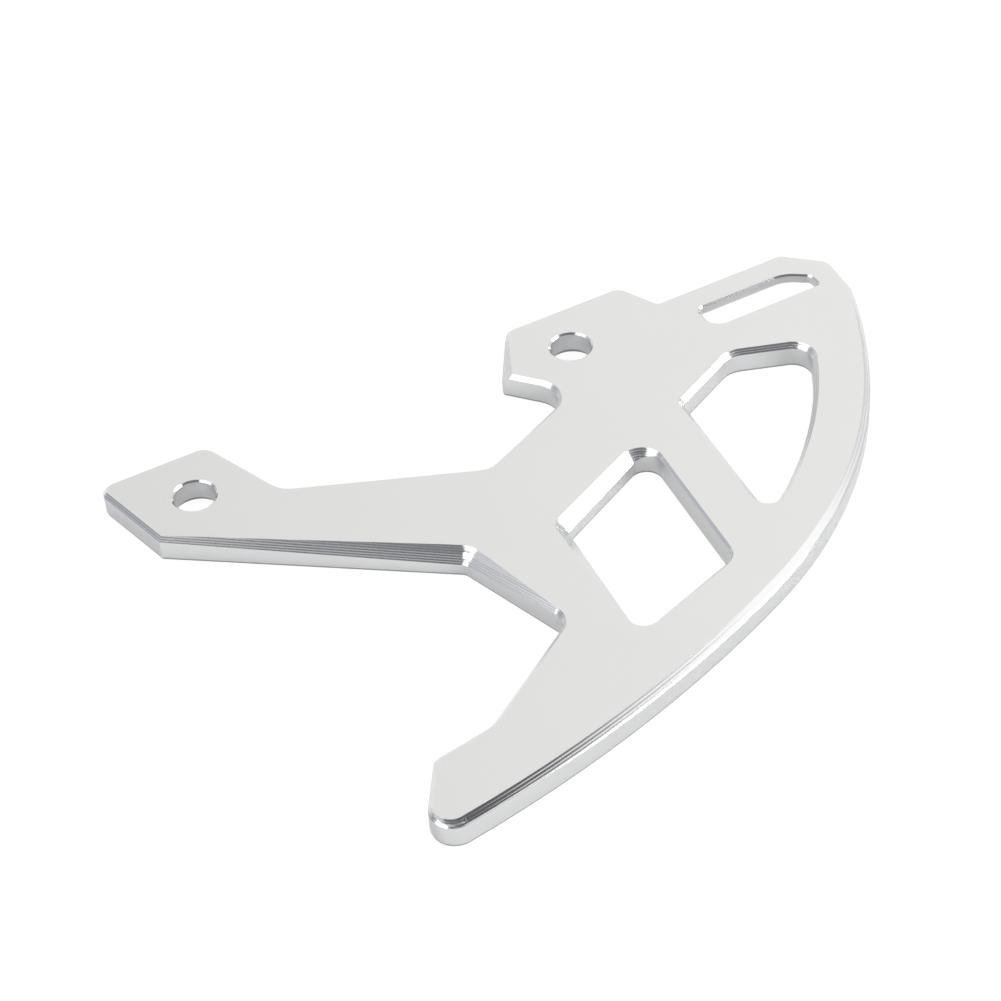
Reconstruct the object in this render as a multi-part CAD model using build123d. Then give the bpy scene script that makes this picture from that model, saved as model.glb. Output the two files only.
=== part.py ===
from build123d import *
import math
import os

# Brake disc guard: one flat plate cut from thick aluminium, in millimetres.
# The back face lies on z = 0 and the decorated face looks along +Z.
# The origin is halfway between the two mounting holes, and +X runs through both of them.

# plate and mounting holes
thickness = 6.0
hole_spacing = 94.0
bore_radius = 4.7
hole_bevel = 0.4
hole_back_bevel = 0.85
hole_back_rise = 1.3
back_bevel = 0.15
back_rise = 0.5

# bevels of the front edges, given by their width; all but the flank's stand at 45 degrees
edge_bevel = 0.9
flank_bevel = 1.9
flank_bevel_high = 1.4
flank_bevel_end = 0.85
flank_bevel_slope = 0.4
long_bevel_thin = 1.0
long_bevel_wide = 3.0
short_bevel_thin = 0.85
lug_b_bevel_thin = 0.5
lug_b_bevel_wide = 2.4
bevel_reach = 4.2

# first lug, round the hole on the -X side
lug_a_top = 14.1
lug_a_left_x = -61.15
lug_a_left_angle = 103.5
lug_a_right_x = -32.85
lug_a_right_angle = -69.6
lug_a_left_radius = 3.0
lug_a_right_radius = 4.2

# arm between the lugs, with the long edge below it
arm_drop = -21.2
arm_angle = -24.3
arm_rise_y = -31.5
arm_rise_angle = 24.2
arm_bend_a = 7.0
arm_bend_b = 5.0
long_edge_y = -52.6
long_edge_angle = -36.7

# second lug and the notch under it
notch_x = 28.5
notch_angle = 129.8
notch_radius = 6.0
lug_b_top = 13.4
lug_b_left_x = 28.9
lug_b_left_angle = 57.2
lug_b_right_x = 73.8
lug_b_right_angle = -65.3
lug_b_low_radius = 1.0
lug_b_left_radius = 2.2
lug_b_right_radius = 4.0

# fin behind the second lug
fin_top = 3.25
fin_root_radius = 0.5
fin_shoulder_x = 109.1
fin_shoulder_angle = -44.5
fin_shoulder_radius = 3.0
fin_end_x = 115.45
fin_end_angle = -102.8
fin_end_radius = 3.5
fin_thickness = 2.2
relief_left = 74.5
relief_reach = 9.5

# long curved flank, from the fin to the tail
flank_fin = (112.9, -16.6)
flank_high = (97.4, -46.1)
flank_low = (44.6, -89.85)
flank_middle = (2.9, -104.1)
flank_tail_y = -113.15

# tail and the bay above it
tail_left_x = 24.1
tail_left_angle = 56.6
tail_tip_radius = 5.0
tail_corner_radius = 2.2
tail_top_y = -89.35
tail_top_angle = 7.75
tail_bend_radius = 7.0
bay_y = -77.05
bay_angle = 32.7
bay_radius = 4.3
short_edge_x = -21.8
short_edge_angle = 107.8
inner_corner_radius = 2.4

# large four-sided window
window_top_y = -59.3
window_top_angle = 26.0
window_right_x = 48.35
window_right_angle = -95.5
window_low_y = -91.0
window_low_angle = 17.6
window_left_x = 22.4
window_left_angle = 83.7
window_left_radius = 0.9
window_top_radius = 3.6
window_right_radius = 4.3
window_low_radius = 3.5
window_bevel = 0.65
window_wide_thick = 2.6
window_wide_thin = 2.3
window_side_thick = 2.9
window_side_thin = 1.15
window_corner_bevel = 1.4

# three-sided window beside it
tri_top_y = -58.8
tri_top_angle = 26.0
tri_roof_y = 7.45
tri_roof_angle = -21.0
tri_left_x = 61.05
tri_left_angle = 84.6
rim_width = 12.5
tri_left_radius = 1.5
tri_top_radius = 6.0
tri_right_radius = 4.4
tri_low_radius = 2.8
tri_bevel = 1.15

# slot in the fin
slot_top = -4.05
slot_low = -11.6
slot_left = 78.3
slot_right = 107.3
slot_slope_x = 96.9
slot_slope_angle = -37.0
slot_bend_radius = 8.0
slot_left_radius = 1.8
slot_left_low_radius = 3.4
slot_right_radius = 2.0
slot_right_low_radius = 0.9
slot_bevel = 0.4


def across(y, angle):
    """A straight edge that crosses the Y axis at height y."""
    turn = math.radians(angle)
    return Vector(0, y), Vector(math.cos(turn), math.sin(turn))


def upright(x, angle):
    """A straight edge that crosses the X axis at x."""
    turn = math.radians(angle)
    return Vector(x, 0), Vector(math.cos(turn), math.sin(turn))


def meet(first, second):
    """The point where two straight edges meet."""
    gap = second[0] - first[0]
    spread = first[1].X * second[1].Y - first[1].Y * second[1].X
    along = (gap.X * second[1].Y - gap.Y * second[1].X) / spread
    return first[0] + first[1] * along


def rounded(shape, corners):
    """Round the corners of a flat shape, each given as a point with its radius."""
    for corner, radius in corners:
        nearest = shape.vertices().sort_by_distance(corner)[0]
        shape = fillet(nearest, radius)
    return shape


def nearest_edge(shape, point):
    """The edge of a flat shape that passes closest to a point."""
    return shape.edges().sort_by_distance(point)[0]


def opened(solid, opening, front_bevel):
    """Cut an opening through the plate, bevel its front edges and break its back edges."""
    solid = solid - extrude(opening, thickness)
    for level, width, rise in ((-1, front_bevel, front_bevel), (0, back_bevel, back_rise)):
        face = solid.faces().sort_by(Axis.Z)[level]
        rim = ShapeList(face.inner_wires()).sort_by_distance(opening.edges()[0] @ 0.5)[0]
        solid = chamfer(rim.edges(), width, rise, reference=face)
    return solid


def inset(path, along, width):
    """The point that lies a given width inside a path, with the solid on its left."""
    run = path % along
    return (path @ along) + Vector(-run.Y, run.X) * width


def bevel_line(shape, start, end, start_width, end_width):
    """The front line of a tapering bevel on a straight edge, with the solid on its left."""
    trimmed = nearest_edge(shape, (start + end) / 2).vertices().sort_by_distance(start)
    edge = Line(trimmed[0].center(), trimmed[1].center())
    return inset(edge, 0, start_width), inset(edge, 1, end_width)


def line_corner(first, second):
    """The point where two bevel lines meet."""
    return meet((first[0], first[1] - first[0]), (second[0], second[1] - second[0]))


def corner_path(shape, corner, start):
    """The arc that rounds a corner, running away from the corner named as its start."""
    arc = nearest_edge(shape, corner)
    first, last = arc.vertices().sort_by_distance(start)
    return ThreePointArc(first.center(), arc @ 0.5, last.center())


def bevel_cut(path, width, slope=1.0):
    """The wedge that a bevel takes off along a path drawn at the back face, solid on its left."""
    start = path @ 0
    run = path % 0
    section = Plane(origin=(start.X, start.Y, thickness), x_dir=(run.Y, -run.X, 0), z_dir=-run)
    fall = (width + bevel_reach) * slope
    wedge = make_face(Polyline((-width, 0), (bevel_reach, 0), (bevel_reach, -fall), close=True))
    return sweep(section * wedge, path=Pos(0, 0, thickness) * path)


# straight edges of the outline
edge_lug_a_left = upright(lug_a_left_x, lug_a_left_angle)
edge_lug_a_top = across(lug_a_top, 0)
edge_lug_a_right = upright(lug_a_right_x, lug_a_right_angle)
edge_arm = across(arm_drop, arm_angle)
edge_rise = across(arm_rise_y, arm_rise_angle)
edge_notch = upright(notch_x, notch_angle)
edge_lug_b_left = upright(lug_b_left_x, lug_b_left_angle)
edge_lug_b_top = across(lug_b_top, 0)
edge_lug_b_right = upright(lug_b_right_x, lug_b_right_angle)
edge_fin_top = across(fin_top, 0)
edge_shoulder = upright(fin_shoulder_x, fin_shoulder_angle)
edge_fin_end = upright(fin_end_x, fin_end_angle)
edge_tail_left = upright(tail_left_x, tail_left_angle)
edge_tail_top = across(tail_top_y, tail_top_angle)
edge_bay = across(bay_y, bay_angle)
edge_short = upright(short_edge_x, short_edge_angle)
edge_long = across(long_edge_y, long_edge_angle)

# corners of the outline
corner_a_left = meet(edge_lug_a_left, edge_lug_a_top)
corner_a_right = meet(edge_lug_a_top, edge_lug_a_right)
corner_bend_a = meet(edge_lug_a_right, edge_arm)
corner_bend_b = meet(edge_arm, edge_rise)
corner_notch = meet(edge_rise, edge_notch)
corner_b_low = meet(edge_notch, edge_lug_b_left)
corner_b_left = meet(edge_lug_b_left, edge_lug_b_top)
corner_b_right = meet(edge_lug_b_top, edge_lug_b_right)
corner_fin_root = meet(edge_lug_b_right, edge_fin_top)
corner_shoulder = meet(edge_fin_top, edge_shoulder)
corner_fin_end = meet(edge_shoulder, edge_fin_end)
corner_tail_top = meet(edge_tail_left, edge_tail_top)
corner_tail_bend = meet(edge_tail_top, edge_bay)
corner_bay = meet(edge_bay, edge_short)
corner_inner = meet(edge_short, edge_long)
corner_lug_a_low = meet(edge_long, edge_lug_a_left)
corner_flank_fin = Vector(*flank_fin)
corner_tail_tip = meet(edge_tail_left, across(flank_tail_y, 0))

arc_low = ThreePointArc(corner_tail_tip, flank_middle, flank_low)
arc_middle = TangentArc(flank_low, flank_high, tangent=arc_low % 1)
arc_high = TangentArc(flank_high, flank_fin, tangent=arc_middle % 1)
straight_edges = Polyline(
    corner_flank_fin,
    corner_fin_end,
    corner_shoulder,
    corner_fin_root,
    corner_b_right,
    corner_b_left,
    corner_b_low,
    corner_notch,
    corner_bend_b,
    corner_bend_a,
    corner_a_right,
    corner_a_left,
    corner_lug_a_low,
    corner_inner,
    corner_bay,
    corner_tail_bend,
    corner_tail_top,
    corner_tail_tip,
)
outline = rounded(
    make_face(arc_low + arc_middle + arc_high + straight_edges),
    [
        (corner_a_left, lug_a_left_radius),
        (corner_a_right, lug_a_right_radius),
        (corner_bend_a, arm_bend_a),
        (corner_bend_b, arm_bend_b),
        (corner_notch, notch_radius),
        (corner_b_low, lug_b_low_radius),
        (corner_b_left, lug_b_left_radius),
        (corner_b_right, lug_b_right_radius),
        (corner_fin_root, fin_root_radius),
        (corner_shoulder, fin_shoulder_radius),
        (corner_fin_end, fin_end_radius),
        (corner_tail_top, tail_corner_radius),
        (corner_tail_bend, tail_bend_radius),
        (corner_bay, bay_radius),
        (corner_inner, inner_corner_radius),
        (corner_tail_tip, tail_tip_radius),
    ],
)

# large window
edge_window_top = across(window_top_y, window_top_angle)
edge_window_right = upright(window_right_x, window_right_angle)
edge_window_low = across(window_low_y, window_low_angle)
edge_window_left = upright(window_left_x, window_left_angle)
corner_window_left = meet(edge_window_left, edge_window_top)
corner_window_top = meet(edge_window_top, edge_window_right)
corner_window_right = meet(edge_window_right, edge_window_low)
corner_window_low = meet(edge_window_low, edge_window_left)
window = rounded(
    make_face(
        Polyline(
            corner_window_left,
            corner_window_top,
            corner_window_right,
            corner_window_low,
            close=True,
        )
    ),
    [
        (corner_window_left, window_left_radius),
        (corner_window_top, window_top_radius),
        (corner_window_right, window_right_radius),
        (corner_window_low, window_low_radius),
    ],
)

# three-sided window: a wedge that runs past the plate, trimmed by a rim concentric with the flank
edge_tri_top = across(tri_top_y, tri_top_angle)
edge_tri_roof = across(tri_roof_y, tri_roof_angle)
edge_tri_left = upright(tri_left_x, tri_left_angle)
corner_tri_left = meet(edge_tri_left, edge_tri_top)
corner_tri_top = meet(edge_tri_top, edge_tri_roof)
rim_centre = arc_middle.arc_center
rim_radius = arc_middle.radius - rim_width
rim_face = Pos(rim_centre.X, rim_centre.Y) * Circle(rim_radius)
tri_far = meet(edge_tri_roof, edge_fin_end)
tri_low = meet(edge_tri_left, across(flank_tail_y, 0))
tri_wedge = make_face(Polyline(corner_tri_left, corner_tri_top, tri_far, tri_low, close=True))
tri_face = tri_wedge & rim_face
corner_tri_right = tri_face.vertices().sort_by_distance(tri_far)[0].center()
corner_tri_low = tri_face.vertices().sort_by_distance(tri_low)[0].center()
tri_window = rounded(
    tri_face,
    [
        (corner_tri_left, tri_left_radius),
        (corner_tri_top, tri_top_radius),
        (corner_tri_right, tri_right_radius),
        (corner_tri_low, tri_low_radius),
    ],
)

# slot in the fin
slot_slope = upright(slot_slope_x, slot_slope_angle)
corner_slot_bend = meet(across(slot_top, 0), slot_slope)
corner_slot_right = meet(slot_slope, upright(slot_right, 90))
slot = rounded(
    make_face(
        Polyline(
            (slot_left, slot_top),
            corner_slot_bend,
            corner_slot_right,
            (slot_right, slot_low),
            (slot_left, slot_low),
            close=True,
        )
    ),
    [
        ((slot_left, slot_top), slot_left_radius),
        (corner_slot_bend, slot_bend_radius),
        (corner_slot_right, slot_right_radius),
        ((slot_right, slot_low), slot_right_low_radius),
        ((slot_left, slot_low), slot_left_low_radius),
    ],
)

# the plate, with an even bevel in front and a small edge break behind
plate = extrude(outline, thickness)
plate = chamfer(plate.faces().sort_by(Axis.Z)[-1].edges(), edge_bevel)
back_face = plate.faces().sort_by(Axis.Z)[0]
plate = chamfer(back_face.edges(), back_bevel, back_rise, reference=back_face)
plate = opened(plate, window, window_bevel)
plate = opened(plate, tri_window, tri_bevel)
plate = opened(plate, slot, slot_bevel)

# flatter, wider bevel of the flank, running out along the fin and round the tip of the tail
low_path = nearest_edge(outline, arc_low @ 0.5)
middle_path = TangentArc(
    inset(arc_middle, 0, flank_bevel),
    inset(arc_middle, 1, flank_bevel_high),
    tangent=arc_middle % 0,
)
high_path = TangentArc(
    inset(arc_high, 0, flank_bevel_high),
    inset(arc_high, 1, flank_bevel_end),
    tangent=middle_path % 1,
)
tip = corner_path(outline, corner_tail_tip, corner_tail_top)
tip_path = ThreePointArc(
    inset(tip, 0, flank_bevel_end),
    inset(tip, 0.5, flank_bevel_high),
    inset(tip, 1, flank_bevel),
)
plate -= bevel_cut(low_path, flank_bevel, flank_bevel_slope)
for tapering_path in (middle_path, high_path, tip_path):
    plate -= bevel_cut(tapering_path, 0, flank_bevel_slope)

# tapering bevels of the long and the short edge, with the round cone between them
long_line = bevel_line(
    outline, corner_lug_a_low, corner_inner, long_bevel_thin, long_bevel_wide
)
short_line = bevel_line(outline, corner_inner, corner_bay, long_bevel_wide, short_bevel_thin)
long_path = FilletPolyline(
    long_line[0] + (long_line[0] - long_line[1]).normalized() * bevel_reach,
    line_corner(long_line, short_line),
    short_line[1],
    radius=inner_corner_radius + long_bevel_wide,
)
plate -= bevel_cut(long_path, 0)

# tapering bevel on the left edge of the second lug
lug_line = bevel_line(
    outline, corner_b_left, corner_b_low, lug_b_bevel_thin, lug_b_bevel_wide
)
lug_run_out = lug_line[1] + (lug_line[1] - lug_line[0]).normalized() * bevel_reach
plate -= bevel_cut(Line(lug_line[0], lug_run_out), 0)

# wide bevels of the large window, which narrow round its top and its low corner
side_line = bevel_line(
    window, corner_window_low, corner_window_left, window_side_thin, window_side_thick
)
roof_line = bevel_line(
    window, corner_window_left, corner_window_top, window_wide_thick, window_wide_thin
)
window_path = FilletPolyline(
    side_line[0],
    line_corner(side_line, roof_line),
    roof_line[1],
    radius=window_left_radius + window_wide_thick,
)
top = corner_path(window, corner_window_top, corner_window_left)
top_path = ThreePointArc(
    inset(top, 0, window_wide_thin),
    inset(top, 0.5, window_corner_bevel),
    inset(top, 1, window_bevel),
)
foot = corner_path(window, corner_window_low, corner_window_right)
foot_path = ThreePointArc(
    inset(foot, 0, window_bevel),
    inset(foot, 0.5, (window_bevel + window_side_thin) / 2),
    inset(foot, 1, window_side_thin),
)
for tapering_path in (window_path, top_path, foot_path):
    plate -= bevel_cut(tapering_path, 0)

# mounting holes, bevelled in front and behind
for hole_x in (-hole_spacing / 2, hole_spacing / 2):
    bore = Pos(hole_x, 0, thickness / 2) * Cylinder(bore_radius, thickness)
    front = Pos(hole_x, 0, thickness - hole_bevel / 2) * Cone(
        bore_radius, bore_radius + hole_bevel, hole_bevel
    )
    back = Pos(hole_x, 0, hole_back_rise / 2) * Cone(
        bore_radius + hole_back_bevel, bore_radius, hole_back_rise
    )
    plate -= bore + front + back

# relief behind the fin, which leaves it thinner beyond the slot
relief_depth = thickness - fin_thickness
relief = Box(
    fin_end_x - relief_left,
    fin_top + relief_reach,
    relief_depth,
    align=(Align.MIN, Align.MIN, Align.MIN),
)
plate -= Pos(relief_left, -relief_reach, 0) * relief

os.makedirs("parts", exist_ok=True)
export_step(plate, "parts/disc_guard.step")
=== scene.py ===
# %% [markdown]
# This lesson dresses a brake disc guard: a flat plate, milled from thick aluminium, that bolts
# beside the disc of a motorcycle. Its outline, holes, windows and bevels come from a CAD model
# that is loaded first and never changed. Blender adds what the CAD model leaves out: the fine
# steps that the cutter left in the bevels, the satin front face, and the studio.

# %% Load the CAD model
import math
from contextlib import contextmanager

import bpy
from mathutils import Matrix, Vector


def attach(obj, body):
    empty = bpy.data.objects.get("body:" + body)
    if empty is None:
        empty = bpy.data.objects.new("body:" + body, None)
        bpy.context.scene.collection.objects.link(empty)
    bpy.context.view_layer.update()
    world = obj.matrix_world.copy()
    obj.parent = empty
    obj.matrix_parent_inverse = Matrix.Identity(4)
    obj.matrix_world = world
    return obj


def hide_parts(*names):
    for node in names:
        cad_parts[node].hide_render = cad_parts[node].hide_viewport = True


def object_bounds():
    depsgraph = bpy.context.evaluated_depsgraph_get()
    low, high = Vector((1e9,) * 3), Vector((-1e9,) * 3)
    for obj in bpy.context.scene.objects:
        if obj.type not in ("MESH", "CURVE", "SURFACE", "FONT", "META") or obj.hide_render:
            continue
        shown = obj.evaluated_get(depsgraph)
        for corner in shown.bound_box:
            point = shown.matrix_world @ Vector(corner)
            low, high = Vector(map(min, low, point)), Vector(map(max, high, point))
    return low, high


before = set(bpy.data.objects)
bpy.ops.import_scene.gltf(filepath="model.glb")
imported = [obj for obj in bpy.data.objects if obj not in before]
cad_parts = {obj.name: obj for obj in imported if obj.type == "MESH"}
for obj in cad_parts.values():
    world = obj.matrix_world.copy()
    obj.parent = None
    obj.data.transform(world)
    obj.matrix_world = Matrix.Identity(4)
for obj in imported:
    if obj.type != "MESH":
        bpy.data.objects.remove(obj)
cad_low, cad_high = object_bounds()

MM = 0.001
thickness = cad_high.z
print("CAD box in millimetres:", [round(value / MM, 1) for value in cad_high - cad_low])

# %% [markdown]
# The camera comes next, because it decides which bevels are seen and what they mirror. The
# photograph was taken from half a metre away with a long lens, from above and a little to the
# left, and tilted slightly. The lens, distance and angles below were found from the round rims
# of the two bolt holes and from the straight edges.

# %% Place the camera
aim = Vector((8.15, -37.16, 6.0)) * MM
camera_distance = 533.2 * MM
camera_height_angle = math.radians(42.2)
camera_turn = math.radians(-25.88)
camera_tilt = math.radians(-4.5)
sensor_width = 36.0
lens_length = 89.9

bpy.ops.object.select_all(action="DESELECT")
bpy.ops.object.camera_add()
camera = bpy.context.object
camera.name = "camera"
camera.data.sensor_width = sensor_width
camera.data.lens = lens_length
camera.data.clip_start = 10 * MM
camera_turned = (
    Matrix.Rotation(camera_turn, 4, "Z")
    @ Matrix.Rotation(math.pi / 2 - camera_height_angle, 4, "X")
    @ Matrix.Rotation(camera_tilt, 4, "Z")
)
camera_pulled_back = Matrix.Translation((0, 0, camera_distance))
camera.matrix_world = Matrix.Translation(aim) @ camera_turned @ camera_pulled_back
bpy.context.scene.camera = camera
print("camera stands at", [round(value, 3) for value in camera.matrix_world.translation])

# %% [markdown]
# The CAD part arrives as loose triangles. To model on it, its mesh is copied to a new object,
# the triangles are joined at their corners, and flat areas are dissolved into single faces.
# The copy then stands for the CAD part, so only the copy shows. The alternative, keeping the
# CAD part and only colouring it, would leave the bevels without their cutter steps.

# %% Make a workpiece from the CAD part
touching = 0.001 * MM
flat_angle = math.radians(0.3)


@contextmanager
def editing(kind="FACE"):
    """Open the plate in edit mode to work on vertices, edges or faces, and close it again."""
    bpy.context.scene.tool_settings.mesh_select_mode = [kind == each for each in ("VERT", "EDGE", "FACE")]
    bpy.ops.object.mode_set(mode="EDIT")
    yield
    bpy.ops.object.mode_set(mode="OBJECT")


cad_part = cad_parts["disc_guard"]
plate = bpy.data.objects.new("guard_plate", cad_part.data.copy())
bpy.context.scene.collection.objects.link(plate)
bpy.ops.object.select_all(action="DESELECT")
plate.select_set(True)
bpy.context.view_layer.objects.active = plate
bpy.ops.mesh.customdata_custom_splitnormals_clear()
with editing():
    bpy.ops.mesh.select_all(action="SELECT")
    bpy.ops.mesh.remove_doubles(threshold=touching)
    bpy.ops.mesh.dissolve_limited(angle_limit=flat_angle)
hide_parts("disc_guard")
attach(plate, "root")
print("workpiece faces:", len(plate.data.polygons))


# %% [markdown]
# Every later step works on a set of faces, such as the walls or one bevel. They could be picked
# by hand, but the choice would be lost with each change to the CAD model. The helper below
# selects the faces that pass a test instead, which is usually about the way that they face.

# %% Select faces by a test
level_limit = 0.99
upright_limit = 0.1
back_limit = 0.9


def select_faces(test):
    """Select the faces of the plate that pass a test, and return how many there are."""
    for vertex in plate.data.vertices:
        vertex.select = False
    for edge in plate.data.edges:
        edge.select = False
    for face in plate.data.polygons:
        face.select = test(face)
    return sum(face.select for face in plate.data.polygons)


def is_front(face):
    return face.normal.z > level_limit


def is_bevel(face):
    return upright_limit < face.normal.z <= level_limit


def is_wall(face):
    return abs(face.normal.z) <= upright_limit


def is_edge_break(face):
    return -back_limit < face.normal.z < -upright_limit


def is_back(face):
    return face.normal.z <= -back_limit


face_groups = (is_front, is_wall, is_bevel, is_edge_break, is_back)
print("faces:", {group.__name__: select_faces(group) for group in face_groups})


# %% [markdown]
# At the window's low corner, the cuts of two bevels miss each other by a few hundredths of a
# millimetre and leave a thin ridge, half a millimetre high. A file would take it off. Merging its
# corners by distance alone would need a reach that swallows other corners too. So the four
# corners of its top are first pushed back to the bevel beside it, where they merge with the
# corners that are there. That bevel slopes by 45 degrees, nearly along x, so near the ridge
# x + z hardly changes on it, and a greater sum tells what stands proud.

# %% Take off the thin ridge
ridge = Vector((13.1, -81.55)) * MM
ridge_reach = 1.0 * MM
ridge_height = 0.5 * MM
ridge_skew = 0.03 * MM
ridge_merge = 0.04 * MM
slope_sum = 18.247 * MM


def pick_vertices(test):
    """Select the vertices of the plate whose place passes a test, and return how many there are."""
    select_faces(lambda face: False)
    for vertex in plate.data.vertices:
        vertex.select = test(vertex.co)
    return sum(vertex.select for vertex in plate.data.vertices)


def on_front(place):
    return place.z > thickness - touching


def near_ridge(place):
    return (place.xy - ridge).length < ridge_reach and place.z > thickness / 2


def is_ridge_top(place):
    return near_ridge(place) and place.x + place.z - slope_sum > ridge_height / 2


for at_front, way in (
    (False, Vector((0, 0, -ridge_height))),
    (True, Vector((-ridge_height, ridge_skew, 0))),
):
    corners = pick_vertices(lambda place: is_ridge_top(place) and on_front(place) == at_front)
    with editing("VERT"):
        bpy.ops.transform.translate(value=way)
    print("ridge corners pushed back:", corners)
pick_vertices(near_ridge)
with editing("VERT"):
    bpy.ops.mesh.remove_doubles(threshold=ridge_merge)


# %% [markdown]
# The bevels were milled in passes, and each kind took its passes in its own way. Where a straight
# bevel tapers, the passes ran along the wall. On all other bevels they are level. Round the flank
# the bevel is nearly flat, so its level passes are few and wide, and some bevels, such as the rims
# of the bolt holes, are too small for any steps. The tests below tell these bevels apart.

# %% Tell the bevels apart
flank_limit = 0.85
same_way = 0.9999
taper_area = 20 * MM**2
taper_length = 8 * MM
taper_drop = 0.2 * MM
front_margin = 0.1 * MM
plain_drop = 0.45 * MM


def is_flank_bevel(face):
    return flank_limit < face.normal.z <= level_limit


def tapering_bevels():
    """List each straight bevel that tapers: a point, the way out of its wall, and its normal."""
    found = []
    for face in plate.data.polygons:
        if not is_bevel(face) or face.area < taper_area:
            continue
        corners = [plate.data.vertices[number].co for number in face.vertices]
        for here, there in zip(corners, corners[1:] + corners[:1]):
            run = there - here
            is_below = max(here.z, there.z) < thickness - front_margin
            if is_below and abs(run.z) > taper_drop and run.length > taper_length:
                out = Vector((run.y, -run.x, 0)).normalized()
                found.append((here.copy(), out, face.normal.copy()))
    return found


def lies_on(face, bevel):
    """Whether a face lies on the flat of a tapering bevel."""
    point, out, normal = bevel
    is_parallel = face.normal.dot(normal) > same_way
    return is_parallel and abs((face.center - point).dot(normal)) < touching


def is_small_bevel(face):
    """Whether a face is on a bevel that is too small for steps."""
    lowest = min(plate.data.vertices[number].co.z for number in face.vertices)
    return is_bevel(face) and lowest > thickness - plain_drop and not is_flank_bevel(face)


def is_level_bevel(face):
    """Whether a face is on a bevel with level passes. Small bevels are in material slot 1."""
    if not is_bevel(face) or is_flank_bevel(face) or face.material_index:
        return False
    return not any(lies_on(face, bevel) for bevel in bevels)


bevels = tapering_bevels()
for face in plate.data.polygons:
    face.material_index = int(is_small_bevel(face))
print("tapering bevels:", len(bevels), "small bevel faces:", select_faces(is_small_bevel))


# %% [markdown]
# Each pass of the cutter left a shallow groove with a crest on either side. These steps show as
# fine dark and bright lines. A bump in the material would be quicker, but it would be lost in
# another program, so they are real shapes here. First the bevels are sliced into strips, half a
# pass wide: the tapering ones by upright planes parallel to the wall, the others by level planes.

# %% Slice the bevels into strips
pass_width = 0.375 * MM
flank_pass_height = 0.25 * MM
passes = 8
flank_passes = 3


def slice_faces(test, point, normal):
    """Cut the faces that pass a test along a plane."""
    if select_faces(test):
        with editing():
            bpy.ops.mesh.bisect(plane_co=point, plane_no=normal, threshold=touching)


for bevel in bevels:
    point, out, normal = bevel
    for count in range(1, 2 * passes + 1):
        slice_faces(lambda face: lies_on(face, bevel), point - out * count * pass_width / 2, out)
for test, pass_count, height in (
    (is_level_bevel, passes, pass_width),
    (is_flank_bevel, flank_passes, flank_pass_height),
):
    for count in range(1, 2 * pass_count + 1):
        level = Vector((0, 0, thickness - count * height / 2))
        slice_faces(test, level, (0, 0, 1))
print("faces after slicing:", len(plate.data.polygons))

# %% [markdown]
# Every second cut is now the bottom of a groove, and the cuts between are crests. To tell them
# apart, the cuts are numbered by their distance from the start: the bottoms are odd and the
# crests are even. The walls must keep their places, so their vertices are fixed from the start,
# and a bottom is fixed once it is sunk, so that no vertex is moved twice.

# %% Number the cuts
line_tolerance = 0.03


def line_number(distance, spacing):
    """The number of the cut that a distance falls on, or None if it falls between cuts."""
    steps = distance / spacing
    return round(steps) if abs(steps - round(steps)) < line_tolerance else None


def number_cuts(test, measure, spacing):
    """For the vertices of the faces that pass a test, give the numbers of their cuts."""
    lines = {}
    for face in plate.data.polygons:
        if test(face):
            for number in face.vertices:
                lines[number] = line_number(measure(plate.data.vertices[number].co), spacing)
    return lines


def groove_bottoms(lines):
    """The vertices on odd cuts that may still move."""
    return {number for number, line in lines.items() if line and line % 2} - fixed


def crest_tops(lines):
    """The vertices on even cuts, each with the number of its cut."""
    return {number: line for number, line in lines.items() if line and line % 2 == 0}


fixed = set()
for face in plate.data.polygons:
    if is_wall(face):
        fixed.update(face.vertices)
print("wall vertices that stay:", len(fixed))

# %% [markdown]
# The bottoms are pushed into the metal by a few hundredths of a millimetre, along the bevel's own
# normal. Where a groove runs out on the front face, its end moves sideways instead, so the face
# stays flat. On a tapering bevel the grooves nearest the wall are the deepest, and further up
# they are faint.

# %% Sink the grooves
groove_depth = 0.03 * MM
faint_groove_depth = 0.012 * MM
flank_groove_depth = 0.04 * MM
deep_lines = 8


def move_vertices(numbers, way):
    """Move vertices by a vector, or along their own normals by a distance."""
    select_faces(lambda face: False)
    for number in numbers:
        plate.data.vertices[number].select = True
    with editing("VERT"):
        if isinstance(way, Vector):
            bpy.ops.transform.translate(value=way)
        else:
            bpy.ops.transform.shrink_fatten(value=way)


crests = {}
moved = 0
for bevel_number, bevel in enumerate(bevels):
    point, out, normal = bevel
    lines = number_cuts(
        lambda face: lies_on(face, bevel), lambda place: (point - place).dot(out), pass_width / 2
    )
    bottoms = groove_bottoms(lines)
    ends = {number for number in bottoms if on_front(plate.data.vertices[number].co)}
    deep = {number for number in bottoms if lines[number] <= deep_lines}
    crests.update({number: (bevel_number, line) for number, line in crest_tops(lines).items()})
    sideways = Vector((normal.x, normal.y, 0))
    for group, depth in ((deep, groove_depth), (bottoms - deep, faint_groove_depth)):
        move_vertices(group - ends, -normal * depth)
        move_vertices(group & ends, -sideways * depth / sideways.length_squared)
    fixed |= bottoms
    moved += len(bottoms)
for test, spacing, depth in (
    (is_level_bevel, pass_width / 2, groove_depth),
    (is_flank_bevel, flank_pass_height / 2, flank_groove_depth),
):
    lines = number_cuts(test, lambda place: thickness - place.z, spacing)
    bottoms = groove_bottoms(lines)
    for number, line in crest_tops(lines).items():
        crests.setdefault(number, (spacing, line))
    move_vertices(bottoms, -depth)
    fixed |= bottoms
    moved += len(bottoms)
print("groove vertices sunk:", moved, "crest vertices:", len(crests))


# %% [markdown]
# Curved walls and cones should look round, and the border between the front, a bevel and a wall
# should look crisp. So the whole plate is shaded smooth, and the edges round each group of faces
# are marked sharp, as are the crests and all edges that turn by more than 18 degrees.

# %% Mark the sharp edges
crease_angle = math.radians(18)

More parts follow.
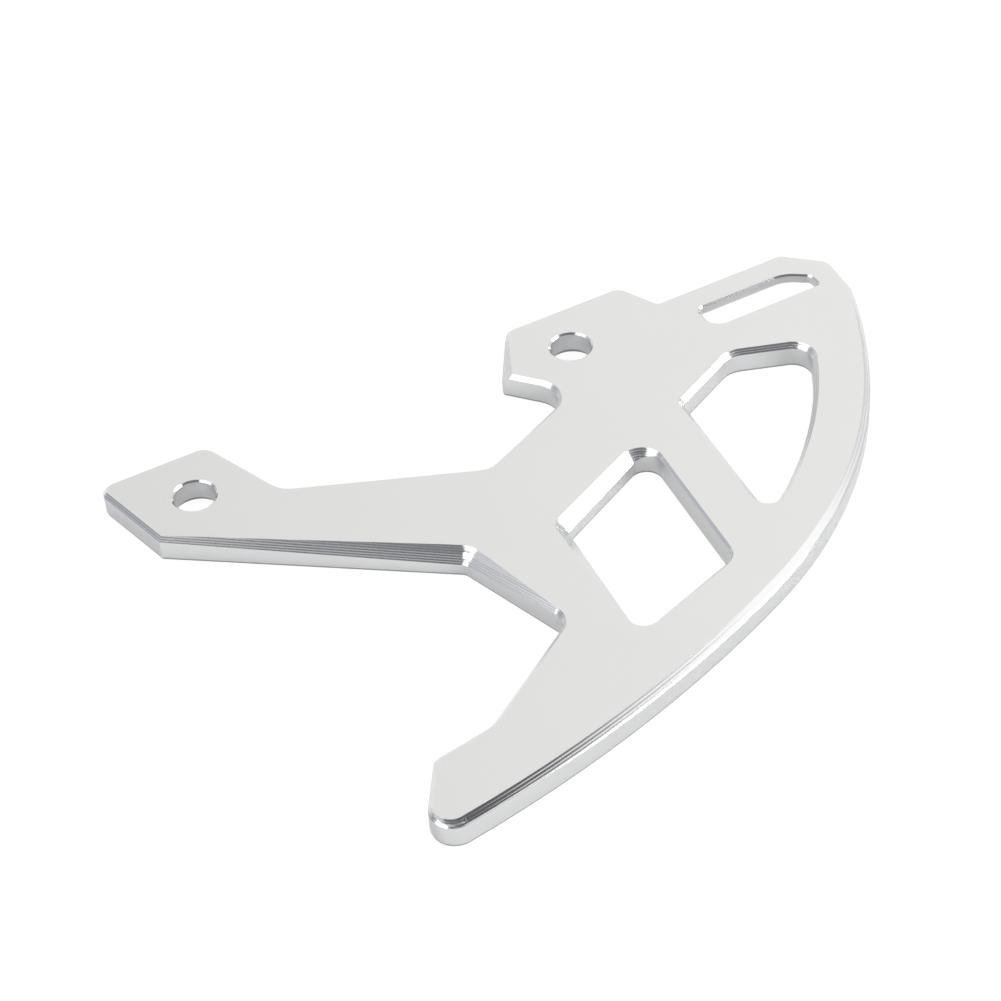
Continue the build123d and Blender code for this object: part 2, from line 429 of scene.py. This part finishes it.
bpy.ops.object.shade_smooth()
for group in face_groups:
    select_faces(group)
    with editing():
        bpy.ops.mesh.region_to_loop()
        bpy.ops.mesh.mark_sharp()
with editing("EDGE"):
    bpy.ops.mesh.select_all(action="DESELECT")
    bpy.ops.mesh.edges_select_sharp(sharpness=crease_angle)
    bpy.ops.mesh.mark_sharp()
    bpy.ops.mesh.select_all(action="DESELECT")
for edge in plate.data.edges:
    first, last = edge.vertices
    edge.select = first in crests and crests[first] == crests.get(last)
with editing("EDGE"):
    bpy.ops.mesh.mark_sharp()
print("sharp edges:", sum(edge.use_edge_sharp for edge in plate.data.edges))

# %% [markdown]
# Between sharp edges, smooth shading mixes the normals of neighbouring faces. A small round face
# would then give the long flat strip beside it a false gleam. Weighting the mix by area keeps
# each strip flat. The modifier is applied, so that the mesh itself holds the result.

# %% Weight the shading by area
bpy.ops.object.modifier_add(type="WEIGHTED_NORMAL")
weighting = plate.modifiers[-1]
weighting.mode = "FACE_AREA"
weighting.weight = 100
weighting.keep_sharp = True
bpy.ops.object.modifier_apply(modifier=weighting.name)
print("triangles:", sum(len(face.vertices) - 2 for face in plate.data.polygons))


# %% [markdown]
# All the finishes are bare aluminium, so they share one recipe: a metal shader, a faint change
# of roughness, and a fine bump for the grain of the metal. Only the numbers differ. A photograph
# of metal could be laid on instead, but it would hold its own light and a seam. The front face
# is made first: it is satin, so it shows a soft even tone.

# %% A recipe for bare metal
grain_detail = 3.0
cloud_size = 25 * MM
roughness_spread = 0.03


def bare_metal(name, colour, roughness, grain_size, grain_depth, stretch):
    """A metal material with a fine grain, stretched by a factor for each axis."""
    material = bpy.data.materials.new(name)
    material.use_nodes = True
    nodes = material.node_tree.nodes
    links = material.node_tree.links
    shader = nodes["Principled BSDF"]
    shader.inputs["Metallic"].default_value = 1.0
    shader.inputs["Base Color"].default_value = (*colour, 1.0)
    place = nodes.new("ShaderNodeTexCoord")
    mapping = nodes.new("ShaderNodeMapping")
    mapping.inputs["Scale"].default_value = stretch
    links.new(place.outputs["Object"], mapping.inputs["Vector"])
    grain = nodes.new("ShaderNodeTexNoise")
    grain.inputs["Scale"].default_value = 1.0 / grain_size
    grain.inputs["Detail"].default_value = grain_detail
    links.new(mapping.outputs["Vector"], grain.inputs["Vector"])
    cloud = nodes.new("ShaderNodeTexNoise")
    cloud.inputs["Scale"].default_value = 1.0 / cloud_size
    links.new(place.outputs["Object"], cloud.inputs["Vector"])
    spread = nodes.new("ShaderNodeMapRange")
    spread.inputs["To Min"].default_value = roughness - roughness_spread
    spread.inputs["To Max"].default_value = roughness + roughness_spread
    links.new(cloud.outputs["Fac"], spread.inputs["Value"])
    links.new(spread.outputs["Result"], shader.inputs["Roughness"])
    bump = nodes.new("ShaderNodeBump")
    bump.inputs["Strength"].default_value = 1.0
    bump.inputs["Distance"].default_value = grain_depth
    links.new(grain.outputs["Fac"], bump.inputs["Height"])
    links.new(bump.outputs["Normal"], shader.inputs["Normal"])
    return material


even = (1, 1, 1)
satin = bare_metal("satin_front", (0.85, 0.85, 0.84), 0.46, 0.4 * MM, 0.002 * MM, even)
print("finish made:", satin.name)

# %% [markdown]
# The walls were milled by the side of the cutter, so they are a little rougher than the bevels,
# and their grain is squeezed in height into lines along the wall. The bevels are the brightest,
# as a sharp cutter leaves them. The broken edges at the back are painted dark: a painted shade
# for the dark line at the foot of every wall, on the same metal. Each finish goes to its group of
# faces, and the unseen back is satin like the front.

# %% Give each group of faces its finish
milled = bare_metal("milled_wall", (0.80, 0.805, 0.81), 0.34, 0.6 * MM, 0.004 * MM, (1, 1, 6))
bright = bare_metal("bright_bevel", (0.88, 0.885, 0.89), 0.15, 0.5 * MM, 0.001 * MM, (1, 1, 4))
# The broken edges get a dark colour as painted shade, not because their metal is duller.
painted_shade_edge = bare_metal("edge_break_painted_shade", (0.42, 0.42, 0.43), 0.4, 0.5 * MM, 0.002 * MM, even)
plate.data.materials.clear()
for slot_number, finish in enumerate((satin, milled, bright, painted_shade_edge, satin)):
    plate.data.materials.append(finish)
    select_faces(face_groups[slot_number])
    with editing():
        plate.active_material_index = slot_number
        bpy.ops.object.material_slot_assign()
print("finishes:", [finish.name for finish in plate.data.materials])

# %% [markdown]
# The floor is a plain white sheet that keeps a faint shadow of the plate. It is white by its own
# glow and not by stronger light. The camera sees most of that glow. The metal, and glass if there
# were any, sees three tenths of it and otherwise the sheet as it is really lit, so the walls
# darken towards their feet and in the corners of the windows, as on a real sheet.

# %% Lay the floor
floor_size = 4.0
floor_gap = 0.05 * MM
paper_white = 0.9
glow_strength = 1.08
camera_share = 0.88
metal_share = 0.3

bpy.ops.object.select_all(action="DESELECT")
bpy.ops.mesh.primitive_plane_add(size=floor_size, location=(0, 0, -floor_gap))
floor = bpy.context.object
floor.name = "floor"
paper = bpy.data.materials.new("white_paper")
paper.use_nodes = True
nodes, links = paper.node_tree.nodes, paper.node_tree.links
nodes.clear()
ray = nodes.new("ShaderNodeLightPath")
lit = nodes.new("ShaderNodeBsdfDiffuse")
lit.inputs["Color"].default_value = (paper_white, paper_white, paper_white, 1.0)
glow = nodes.new("ShaderNodeEmission")
glow.inputs["Strength"].default_value = glow_strength
glow_share = None
for kind, share in (
    ("Is Camera Ray", camera_share),
    ("Is Glossy Ray", metal_share),
    ("Is Transmission Ray", metal_share),
):
    added = nodes.new("ShaderNodeMath")
    added.operation = "MULTIPLY_ADD"
    links.new(ray.outputs[kind], added.inputs[0])
    added.inputs[1].default_value = share
    added.inputs[2].default_value = 0.0
    if glow_share:
        links.new(glow_share, added.inputs[2])
    glow_share = added.outputs[0]
seen = nodes.new("ShaderNodeMixShader")
links.new(glow_share, seen.inputs["Fac"])
links.new(lit.outputs[0], seen.inputs[1])
links.new(glow.outputs[0], seen.inputs[2])
output = nodes.new("ShaderNodeOutputMaterial")
links.new(seen.outputs[0], output.inputs["Surface"])
floor.data.materials.append(paper)
print("floor material:", paper.name)

# %% [markdown]
# Metal shows little but what it mirrors, so the studio is painted on the world round the plate.
# It could be a set of real lamps and panels, but they would stand in the way of other views. It
# is built of round zones. Each has a direction, an inner and an outer angle between which it
# fades, and a colour, and each is laid over the ones before it.

# %% A zone of the studio
world = bpy.data.worlds.new("studio")
bpy.context.scene.world = world
world.use_nodes = True
nodes, links = world.node_tree.nodes, world.node_tree.links
nodes.clear()
sky = nodes.new("ShaderNodeTexCoord")


def studio_zone(below, azimuth, height, inner, outer, colour):
    """Lay a round zone of a colour over what is below it. Azimuth 0 lies straight ahead."""
    turn = camera_turn - math.radians(azimuth)
    rise = math.radians(height)
    toward = (-math.sin(turn) * math.cos(rise), math.cos(turn) * math.cos(rise), math.sin(rise))
    angle = nodes.new("ShaderNodeVectorMath")
    angle.operation = "DOT_PRODUCT"
    links.new(sky.outputs["Generated"], angle.inputs[0])
    angle.inputs[1].default_value = toward
    fade = nodes.new("ShaderNodeMapRange")
    fade.interpolation_type = "SMOOTHSTEP"
    fade.inputs["From Min"].default_value = math.cos(math.radians(outer))
    fade.inputs["From Max"].default_value = math.cos(math.radians(inner))
    links.new(angle.outputs["Value"], fade.inputs["Value"])
    mix = nodes.new("ShaderNodeMix")
    mix.data_type = "RGBA"
    links.new(fade.outputs["Result"], mix.inputs["Factor"])
    if isinstance(below, tuple):
        mix.inputs["A"].default_value = (*below, 1.0)
    else:
        links.new(below, mix.inputs["A"])
    mix.inputs["B"].default_value = (*colour, 1.0)
    return mix.outputs["Result"]


print("world:", world.name)

# %% [markdown]
# The zones follow what the metal in the photograph mirrors: a bright wall ahead and to the right,
# with one small strong lamp in it that makes some bevels pure white; a dark ceiling over the
# camera, which makes the long bevel dark; two sharp white panels on the left; and grey low on
# the left. The camera itself sees plain white behind the floor.

# %% Build the studio
mirror_sky = (0.66, 0.66, 0.67)
zones = {
    "wall ahead": (30, 42, 16, 46, (1.04, 1.035, 1.025)),
    "wall on the right": (75, 46, 14, 28, (1.1, 1.1, 1.08)),
    "foot of the right wall": (48, 20, 8, 24, (0.72, 0.725, 0.73)),
    "shade above the right wall": (82, 60, 4, 14, (0.6, 0.605, 0.62)),
    "lamp on the right": (94, 34, 12, 15, (10.0, 10.0, 9.9)),
    "ceiling over the camera": (155, 71, 30, 33, (0.17, 0.175, 0.19)),
    "ceiling behind on the right": (130, 50, 10, 14, (0.19, 0.195, 0.21)),
    "wall behind the camera": (-165, 26, 13, 20, (0.46, 0.46, 0.47)),
    "ceiling behind the camera": (-168, 57, 15.5, 18, (0.17, 0.175, 0.19)),
    "darkest ceiling": (88, 71, 9, 13, (0.09, 0.09, 0.10)),
    "wall on the left": (-80, 20, 17, 24, (0.50, 0.51, 0.55)),
    "foot of the left wall": (-84, 12, 9, 13, (0.30, 0.31, 0.34)),
    "front left panel": (-107, 36, 14, 15.5, (1.6, 1.6, 1.52)),
    "rear left panel": (-133, 42, 10.5, 12.5, (1.6, 1.6, 1.52)),
}
for zone in zones.values():
    mirror_sky = studio_zone(mirror_sky, *zone)
studio = nodes.new("ShaderNodeBackground")
links.new(mirror_sky, studio.inputs["Color"])
backdrop = nodes.new("ShaderNodeBackground")
backdrop.inputs["Color"].default_value = (1.0, 1.0, 1.0, 1.0)
ray = nodes.new("ShaderNodeLightPath")
shown = nodes.new("ShaderNodeMixShader")
links.new(ray.outputs["Is Camera Ray"], shown.inputs["Fac"])
links.new(studio.outputs[0], shown.inputs[1])
links.new(backdrop.outputs[0], shown.inputs[2])
output = nodes.new("ShaderNodeOutputWorld")
links.new(shown.outputs[0], output.inputs["Surface"])
bpy.context.scene.view_settings.view_transform = "Standard"
print("studio zones:", ", ".join(zones))
